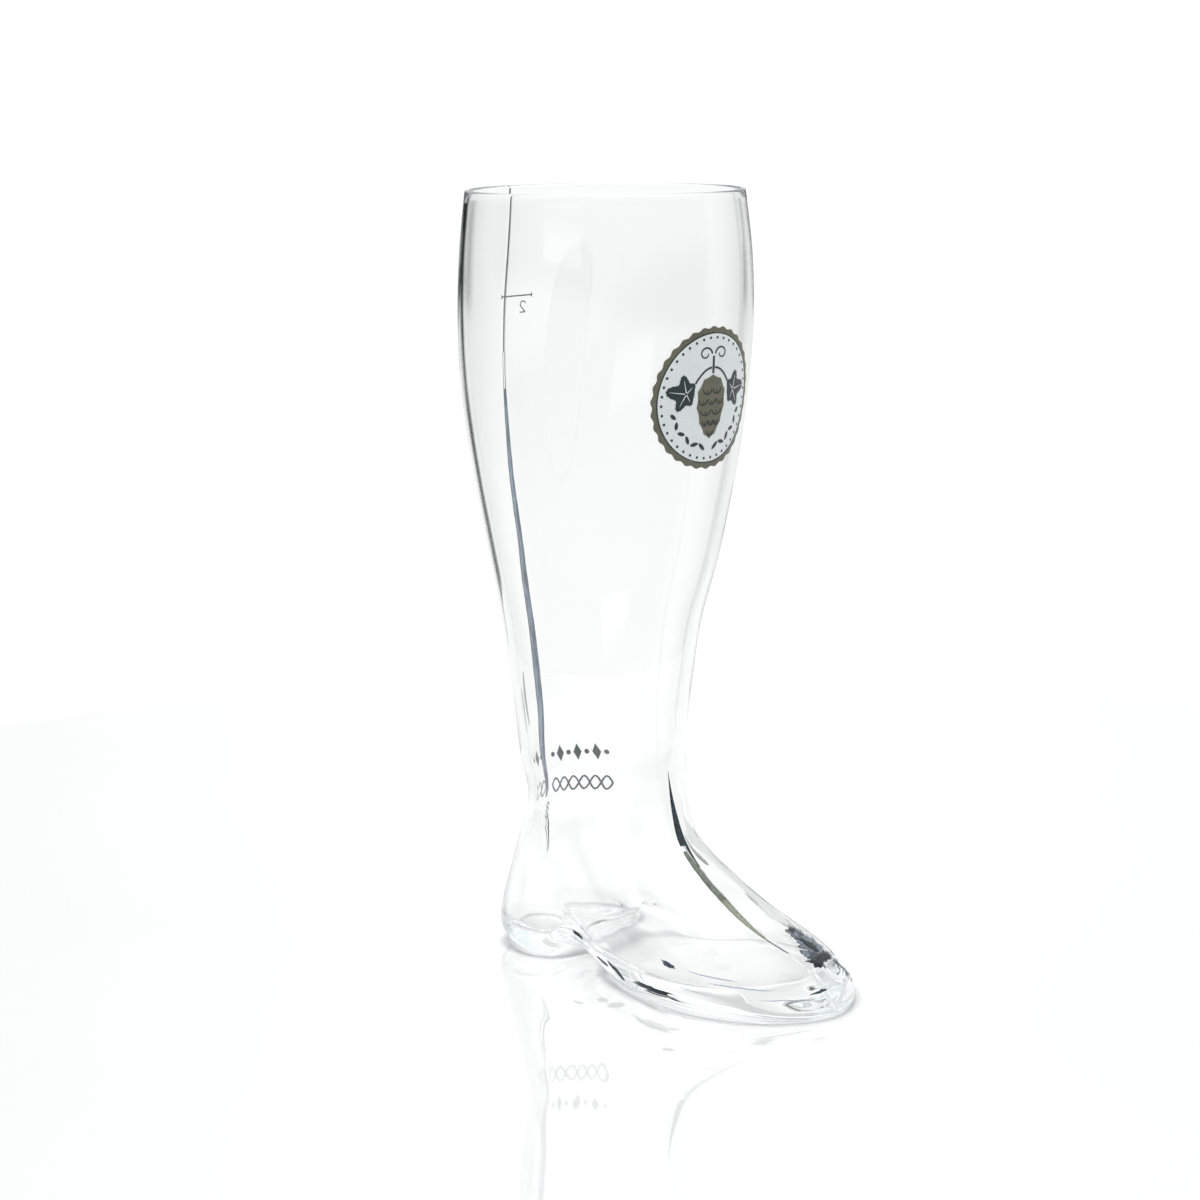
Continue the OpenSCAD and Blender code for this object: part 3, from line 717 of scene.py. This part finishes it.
def blot(a, z, length, width, tilt, rough, seed, n=72):
    """Ragged patch about the place (a, z): its middle's offset from (180, 0) and its outline."""
    t = np.radians(np.arange(n) * 360.0 / n)
    ring = np.stack([np.cos(t), np.sin(t), 0 * t], -1)
    r = 1 + rough * gradient_noise(ring + seed, 0.8, seed) + 0.6 * rough * gradient_noise(ring + seed, 0.25, seed + 1)
    r = np.clip(r, 0.25, 1.6)
    p = np.stack([length * r * np.cos(t), width * r * np.sin(t)], -1)
    c, s = math.cos(math.radians(tilt)), math.sin(math.radians(tilt))
    return a, z, p @ np.array([[c, s], [-s, c]])


def blots(name, patches, off, mat, steps=3):
    verts, faces, base = [], [], 0
    for a, z, outline in patches:
        v, f = disc_mesh([((0, 0), outline)], a, z, steps, off, 0.06)
        verts.append(v)
        faces += [tuple(k + base for k in g) for g in f]
        base += len(v)
    return glass_piece(name, (np.concatenate(verts), faces), mat)


def make_toe_marks():
    """Painted shade where the mould's line ends in the toe and the glass is full of folds: dark patches and specks for
    the light the folds bend away, then painted dark reflections, shade patches and pale streaks in the sole and foot.
    """
    blots("toe_painted_shade_blots", [blot(197.5, 20.4, 6.8, 3.9, 20, 0.8, 51), blot(200, 23.4, 3.0, 1.9, 10, 0.8, 52), blot(191, 19.2, 2.6, 1.4, 0, 0.6, 53)], 0.02, TOE_SHADE, 6)
    blots("toe_painted_shade_core", [blot(195, 17.5, 5.2, 1.15, -4, 0.8, 54), blot(201.5, 17.0, 2.4, 0.9, 0, 0.8, 55), blot(200.8, 24.6, 1.7, 0.6, 0, 0.4, 56), blot(199, 20.8, 2.2, 1.5, 40, 0.6, 57)], 0.1, COAL, 4)
    # painted shade: small dark specks spread below the toe patch
    rng = np.random.default_rng(61)
    specks = []
    for i in range(46):
        t = rng.random() ** 0.8
        a, z = 201.5 + 6.0 * t + rng.normal() * 1.2, 17.5 - 9.5 * t + rng.normal() * 0.8
        specks.append(blot(a, z, 0.25 + 0.55 * rng.random(), 0.15 + 0.3 * rng.random(), 60 * rng.random(), 0.4, 70 + i, 20))
    blots("toe_specks", specks, 0.18, STEEL, 1)
    # small dark reflections of the arch in the thick edge of the sole
    blots("sole_glints", [blot(74, 13.0, 1.9, 0.8, -20, 0.3, 130), blot(92, 7.5, 2.9, 0.95, -48, 0.3, 131), blot(109.8, 7.7, 5.4, 1.0, 3, 0.5, 132),
                          blot(111, 6.2, 2.8, 0.35, -2, 0.3, 133), blot(116, 7.2, 3.0, 0.22, -16, 0.3, 134), blot(116.6, 6.5, 3.4, 0.2, -16, 0.3, 135), blot(118.6, 6.1, 1.0, 0.35, -20, 0.3, 136)], 0.02, COAL)
    # painted shade: blue-grey patches in the sole
    blots("sole_painted_shade_patches", [blot(85.3, 8.2, 1.8, 0.9, -30, 0.4, 140), blot(121.5, 18.3, 1.5, 1.1, 0, 0.6, 141), blot(177, 10, 3.0, 0.5, 5, 0.5, 142)], 0.02, STEEL)
    # painted shade: pale streaks where ripples in the foot bend the light
    lines = []
    for a0, a1, z0, z1, w in ((128, 146, 17.6, 15.6, 0.5), (134, 158, 14.6, 12.4, 0.5), (120, 134, 12.0, 10.0, 0.35), (150, 168, 9.5, 8.2, 0.4)):
        a = np.linspace(a0, a1, 60)
        t = (a - a0) / (a1 - a0)
        h = z0 + (z1 - z0) * t + 0.25 * waver(a, 6, int(a0))
        wd = w * np.sin(np.pi * np.clip(t, 0.02, 0.98)) ** 0.6
        lines.append(np.stack([np.stack([a, h - wd / 2], -1), np.stack([a, h + wd / 2], -1)], 1))
    verts, faces, base = [], [], 0
    for g in lines:
        u = np.radians(g[..., 0] - 140) * blend(LEVELS[:, 0], LEVELS[:, 7], g[..., 1])
        v, f = sheet_mesh([np.stack([u, g[..., 1]], -1)], 140, 0, 0.02, 0.06)
        verts.append(v)
        faces += [tuple(k + base for k in q) for q in f]
        base += len(v)
    glass_piece("foot_ripples", (np.concatenate(verts), faces), RIPPLE_SHADE)


def make_floor():
    bm = bmesh.new()
    bmesh.ops.create_circle(bm, cap_ends=True, cap_tris=False, segments=160, radius=0.62)
    mesh = bpy.data.meshes.new("floor")
    bm.to_mesh(mesh)
    bm.free()
    obj = bpy.data.objects.new("floor", mesh)
    bpy.context.scene.collection.objects.link(obj)
    obj.location = (0, 0, -0.0002)
    m, nt, p, out = material("floor_gloss")
    n = noise_node(nt, 3, 2, 0.5)
    nt.links.new(ramp(nt, n.outputs["Fac"], [(0.3, (0.29, 0.29, 0.29)), (0.7, (0.31, 0.31, 0.31))]), p.inputs["Base Color"])
    p.inputs["Roughness"].default_value = 0.03
    p.inputs["Specular IOR Level"].default_value = 1.0
    p.inputs["IOR"].default_value = 2.0
    p.inputs["Emission Color"].default_value = (1, 1, 1, 1)
    tc = node(nt, "ShaderNodeTexCoord")
    sep = node(nt, "ShaderNodeSeparateXYZ")
    nt.links.new(tc.outputs["Object"], sep.inputs[0])
    away = math_node(nt, "SUBTRACT", sep.outputs[1], sep.outputs[0])
    nt.links.new(math_node(nt, "MULTIPLY_ADD", away, -0.045, 0.54), p.inputs["Emission Strength"])
    # painted contact shadow: ambient occlusion darkens the floor's glow in a soft dark line where the glass meets the
    # floor; open floor and the floor under the sole stay white
    ao = node(nt, "ShaderNodeAmbientOcclusion")
    ao.samples = 8
    ao.inputs["Distance"].default_value = 0.006
    shade = ramp(nt, ao.outputs["AO"], [(0.15, (1, 1, 1)), (0.45, (0.20, 0.20, 0.23)), (0.62, (0.5, 0.5, 0.53)), (0.92, (1, 1, 1))])
    nt.links.new(shade, p.inputs["Emission Color"])
    mesh.materials.append(m)


def make_world():
    w = bpy.data.worlds.new("studio")
    bpy.context.scene.world = w
    w.use_nodes = True
    nt = w.node_tree
    bg, out = nt.nodes["Background"], nt.nodes["World Output"]
    tc = node(nt, "ShaderNodeTexCoord")
    sep = node(nt, "ShaderNodeSeparateXYZ")
    nt.links.new(tc.outputs["Generated"], sep.inputs[0])
    x, y, z = sep.outputs
    el = math_node(nt, "MULTIPLY", math_node(nt, "ARCSINE", z), 57.29578)
    az = math_node(nt, "MULTIPLY", math_node(nt, "ARCTAN2", y, x), 57.29578)
    az = math_node(nt, "FLOORED_MODULO", az, 360.0)

    def window(v, a, b, soft):
        return math_node(nt, "MULTIPLY", step(nt, v, a - soft, a + soft), step(nt, v, b - soft, b + soft, 1.0, 0.0))

    def mul(*s):
        r = s[0]
        for t in s[1:]:
            r = math_node(nt, "MULTIPLY", r, t)
        return r

    # bearing from the middle of the sweep behind the glass, -180 to 180, to the left
    d = math_node(nt, "SUBTRACT", math_node(nt, "FLOORED_MODULO", math_node(nt, "ADD", az, 45.0), 360.0), 180.0)
    # white sweep, a little weaker towards its ends
    level = mul(step(nt, d, 5, 13, 1.0, 0.86), step(nt, d, -12, -4, 0.86, 1.0), step(nt, el, -12, -6, 1.045, 1.0))
    # and greyer up there, away from its middle
    level = mul(level, math_node(nt, "MULTIPLY_ADD", mul(step(nt, d, 0.5, 8.5), step(nt, el, -10, -3)), -0.19, 1.0))
    level = mul(level, math_node(nt, "MULTIPLY_ADD", mul(step(nt, d, -9, -3, 1.0, 0.0), step(nt, el, -9, -3)), -0.10, 1.0))
    # the room behind the camera, above the table: darker
    away = math_node(nt, "ABSOLUTE", d)
    level = math_node(nt, "MAXIMUM", level, mul(step(nt, away, 60, 80, 0.0, 0.97), step(nt, el, -10.5, -8, 1.0, 0.0)))
    room = mul(step(nt, away, 78, 102), step(nt, el, -8.5, -1), step(nt, el, 8, 18, 1.0, 0.0))
    level = mul(level, math_node(nt, "MULTIPLY_ADD", room, -0.7, 1.0))
    # a window in it, to the left of the camera
    pane = mul(window(d, 136.5, 168, 2.0), window(el, 1, 9, 1.6))
    level = math_node(nt, "MULTIPLY_ADD", pane, 0.65, level)
    # soft box overhead
    level = math_node(nt, "ADD", level, step(nt, el, 40, 58, 0.0, 0.8))
    # tall dark flags just outside the picture, standing on the far edge of the sweep
    for a0, a1, e0, e1, dark, soft in ((10.6, 33.0, -5.4, 5.0, 0.97, 2.4), (23.0, 34.0, -16.5, -4.0, 0.93, 0.7), (-19.5, -12.3, -4.9, 1.8, 0.92, 1.0)):
        f = mul(window(d, a0, a1, soft), window(el, e0, e1, 0.6))
        level = mul(level, math_node(nt, "MULTIPLY_ADD", f, -dark, 1.0))
    nt.links.new(level, bg.inputs["Strength"])
    bg.inputs["Color"].default_value = (0.98, 1, 0.992, 1)
    white = node(nt, "ShaderNodeBackground")
    white.inputs["Color"].default_value = (1, 1, 1, 1)
    white.inputs["Strength"].default_value = 1.05
    lp = node(nt, "ShaderNodeLightPath")
    mix = node(nt, "ShaderNodeMixShader")
    nt.links.new(lp.outputs["Is Camera Ray"], mix.inputs[0])
    nt.links.new(bg.outputs[0], mix.inputs[1])
    nt.links.new(white.outputs[0], mix.inputs[2])
    nt.links.new(mix.outputs[0], out.inputs["Surface"])
    w.cycles.sampling_method = "MANUAL"
    w.cycles.sample_map_resolution = 1024


def make_camera():
    a, dist, h = math.radians(45), 1250 * MM, 390.4 * MM
    pitch, roll, f, tx = math.radians(10.52), math.radians(-0.27), 2918.5, 6.61
    c = Vector((math.sin(a) * dist + X_SHIFT * MM, -math.cos(a) * dist, h))
    fw = Vector((-math.sin(a), math.cos(a), 0))
    right = Vector((math.cos(a), math.sin(a), 0))
    yaw = math.atan2(tx, f)
    fw2 = math.cos(yaw) * fw - math.sin(yaw) * right
    right2 = math.cos(yaw) * right + math.sin(yaw) * fw
    up = Vector((0, 0, 1))
    look = math.cos(pitch) * fw2 - math.sin(pitch) * up
    top = math.cos(pitch) * up + math.sin(pitch) * fw2
    r2 = math.cos(roll) * right2 + math.sin(roll) * top
    u2 = math.cos(roll) * top - math.sin(roll) * right2
    cam = bpy.data.cameras.new("camera")
    cam.sensor_width = 36
    cam.sensor_fit = "HORIZONTAL"
    cam.lens = 36 * f / 1200
    cam.clip_start, cam.clip_end = 0.01, 50
    obj = bpy.data.objects.new("camera", cam)
    bpy.context.scene.collection.objects.link(obj)
    m = Matrix((r2, u2, -look)).transposed().to_4x4()
    m.translation = c
    obj.matrix_world = m
    bpy.context.scene.camera = obj


make_glass_body()
make_badge()
make_marks()
make_seams()
make_toe_marks()
make_floor()
make_world()
make_camera()

scene = bpy.context.scene
scene.view_settings.view_transform = "Standard"
scene.view_settings.look = "None"
scene.cycles.max_bounces = 200
scene.cycles.transmission_bounces = 200
scene.cycles.glossy_bounces = 200
scene.cycles.diffuse_bounces = 4
scene.cycles.caustics_reflective = True
scene.cycles.caustics_refractive = True
